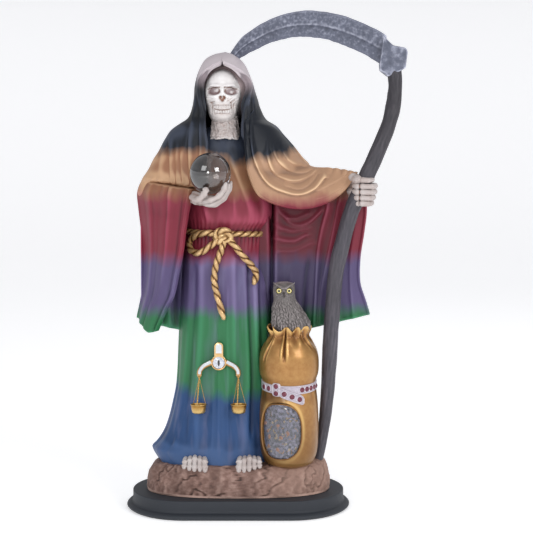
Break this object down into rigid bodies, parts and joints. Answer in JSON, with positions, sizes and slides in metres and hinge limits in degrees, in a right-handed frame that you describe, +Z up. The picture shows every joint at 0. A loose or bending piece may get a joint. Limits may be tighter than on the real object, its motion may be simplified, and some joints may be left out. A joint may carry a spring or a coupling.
{
  "type": "santa muerte figure",
  "caption": "Robed and hooded skeleton statue on an oval plinth, holding a scythe and a glass ball, with an owl on a money bag and small scales at the skirt.",
  "frame": {"origin": "middle of the plinth's underside", "axes": "+Z up, the figure's face towards -Y, the scythe on the +X side"},
  "size_m": [0.229, 0.1208, 0.407],
  "materials": {
    "lacquered_wood": "satin black lacquer",
    "painted_resin": "airbrushed bands of paint, satin",
    "charcoal_resin": "charcoal paint, dry brushed",
    "clear_glass": "polished, clear",
    "owl_resin": "matt grey brown paint",
    "clear_resin": "polished, clear",
    "enamelled_gilt": "gilt edge with white enamel",
    "jewel": "polished",
    "brass": "satin",
    "red_stone": "polished, faceted"
  },
  "bodies": {
    "root": {"plinth": "lacquered_wood", "statue_casting": "painted_resin", "scythe": "charcoal_resin", "crystal_ball": "clear_glass", "owl": "owl_resin", "relic_window": "clear_resin", "scale_beam": "enamelled_gilt", "scale_jewel": "jewel", "scale_pan_left": "brass", "scale_pan_right": "brass", "bag_stone_1": "red_stone", "bag_stone_2": "red_stone", "bag_stone_3": "red_stone", "bag_stone_4": "red_stone", "bag_stone_5": "red_stone", "bag_stone_6": "red_stone", "bag_stone_7": "red_stone", "bag_stone_8": "red_stone", "bag_stone_9": "red_stone", "bag_stone_10": "red_stone", "bag_stone_11": "red_stone", "bag_stone_12": "red_stone"}
  },
  "joints": []
}
